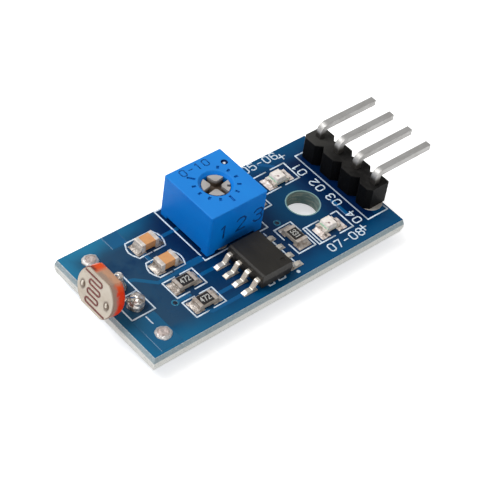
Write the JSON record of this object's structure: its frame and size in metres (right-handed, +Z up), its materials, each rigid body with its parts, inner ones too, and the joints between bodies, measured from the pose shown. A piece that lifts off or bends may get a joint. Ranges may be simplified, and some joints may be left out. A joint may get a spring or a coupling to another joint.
{
  "type": "light sensor module",
  "caption": "Small blue circuit board with a photoresistor over one end, a blue trimmer, a comparator chip, signal lamps, a mounting hole and a bent pin header.",
  "frame": {"origin": "on the mounting hole's axis, in the plane of the board's underside", "axes": "+X along the board from the light sensor to the pin header, +Y across the board towards its back long edge, +Z up out of the component side"},
  "size_m": [0.0376, 0.0142, 0.0076],
  "materials": {
    "board_laminate": "blue solder mask over glass-epoxy laminate, bare grey-white edges",
    "sensor_ceramic": "beige fired ceramic under a clear coat",
    "sensor_track": "maroon light-sensitive track",
    "sensor_resin": "orange-red resin",
    "tinned_wire": "tinned wire",
    "trimmer_housing": "satin blue moulding",
    "trimmer_rotor": "warm grey moulding",
    "trimmer_seal": "black seal ring",
    "trimmer_wiper": "spring bronze",
    "trimmer_element": "white ceramic plate",
    "trimmer_potting": "hardened sealing resin",
    "chip_moulding": "dark moulding compound",
    "chip_leads": "tin-plated copper alloy",
    "capacitor_ceramic": "tan ceramic",
    "part_terminals": "tin-plated ends",
    "resistor_plate": "white ceramic plate",
    "resistor_coat": "black overcoat",
    "led_base": "pale base plate",
    "led_die": "light-giving die",
    "led_lens": "milky lens",
    "header_moulding": "black moulding",
    "header_pins": "plated square pins",
    "solder": "tin solder"
  },
  "bodies": {
    "module": {"capacitor_1_caps": "part_terminals", "capacitor_1_ceramic": "capacitor_ceramic", "capacitor_2_caps": "part_terminals", "capacitor_2_ceramic": "capacitor_ceramic", "capacitor_solder": "solder", "circuit_board": "board_laminate", "comparator_body": "chip_moulding", "comparator_leads": "chip_leads", "comparator_solder": "solder", "header_block": "header_moulding", "header_pin_1": "header_pins", "header_pin_2": "header_pins", "header_pin_3": "header_pins", "header_pin_4": "header_pins", "header_solder": "solder", "led_solder": "solder", "power_led_base": "led_base", "power_led_caps": "part_terminals", "power_led_die": "led_die", "power_led_lens": "led_lens", "resistor_1_caps": "part_terminals", "resistor_1_coat": "resistor_coat", "resistor_1_plate": "resistor_plate", "resistor_2_caps": "part_terminals", "resistor_2_coat": "resistor_coat", "resistor_2_plate": "resistor_plate", "resistor_3_caps": "part_terminals", "resistor_3_coat": "resistor_coat", "resistor_3_plate": "resistor_plate", "resistor_4_caps": "part_terminals", "resistor_4_coat": "resistor_coat", "resistor_4_plate": "resistor_plate", "resistor_solder": "solder", "sensor_ceramic": "sensor_ceramic", "sensor_lead_back": "tinned_wire", "sensor_lead_front": "tinned_wire", "sensor_resin": "sensor_resin", "sensor_solder": "solder", "sensor_track": "sensor_track", "signal_led_base": "led_base", "signal_led_caps": "part_terminals", "signal_led_die": "led_die", "signal_led_lens": "led_lens", "spare_pad_solder": "solder", "trimmer_element": "trimmer_element", "trimmer_housing": "trimmer_housing", "trimmer_pin_1": "tinned_wire", "trimmer_pin_2": "tinned_wire", "trimmer_pin_3": "tinned_wire", "trimmer_potting": "trimmer_potting", "trimmer_solder": "solder"},
    "adjuster": {"trimmer_rotor": "trimmer_rotor", "trimmer_seal": "trimmer_seal", "trimmer_wiper": "trimmer_wiper"}
  },
  "joints": [
    {"name": "trimmer_turn", "type": "hinge", "parent": "module", "child": "adjuster", "pos_m": [-0.0088, 0.0031, 0.00615], "axis": [0, 0, 1], "range_deg": [-193, 82]}
  ]
}
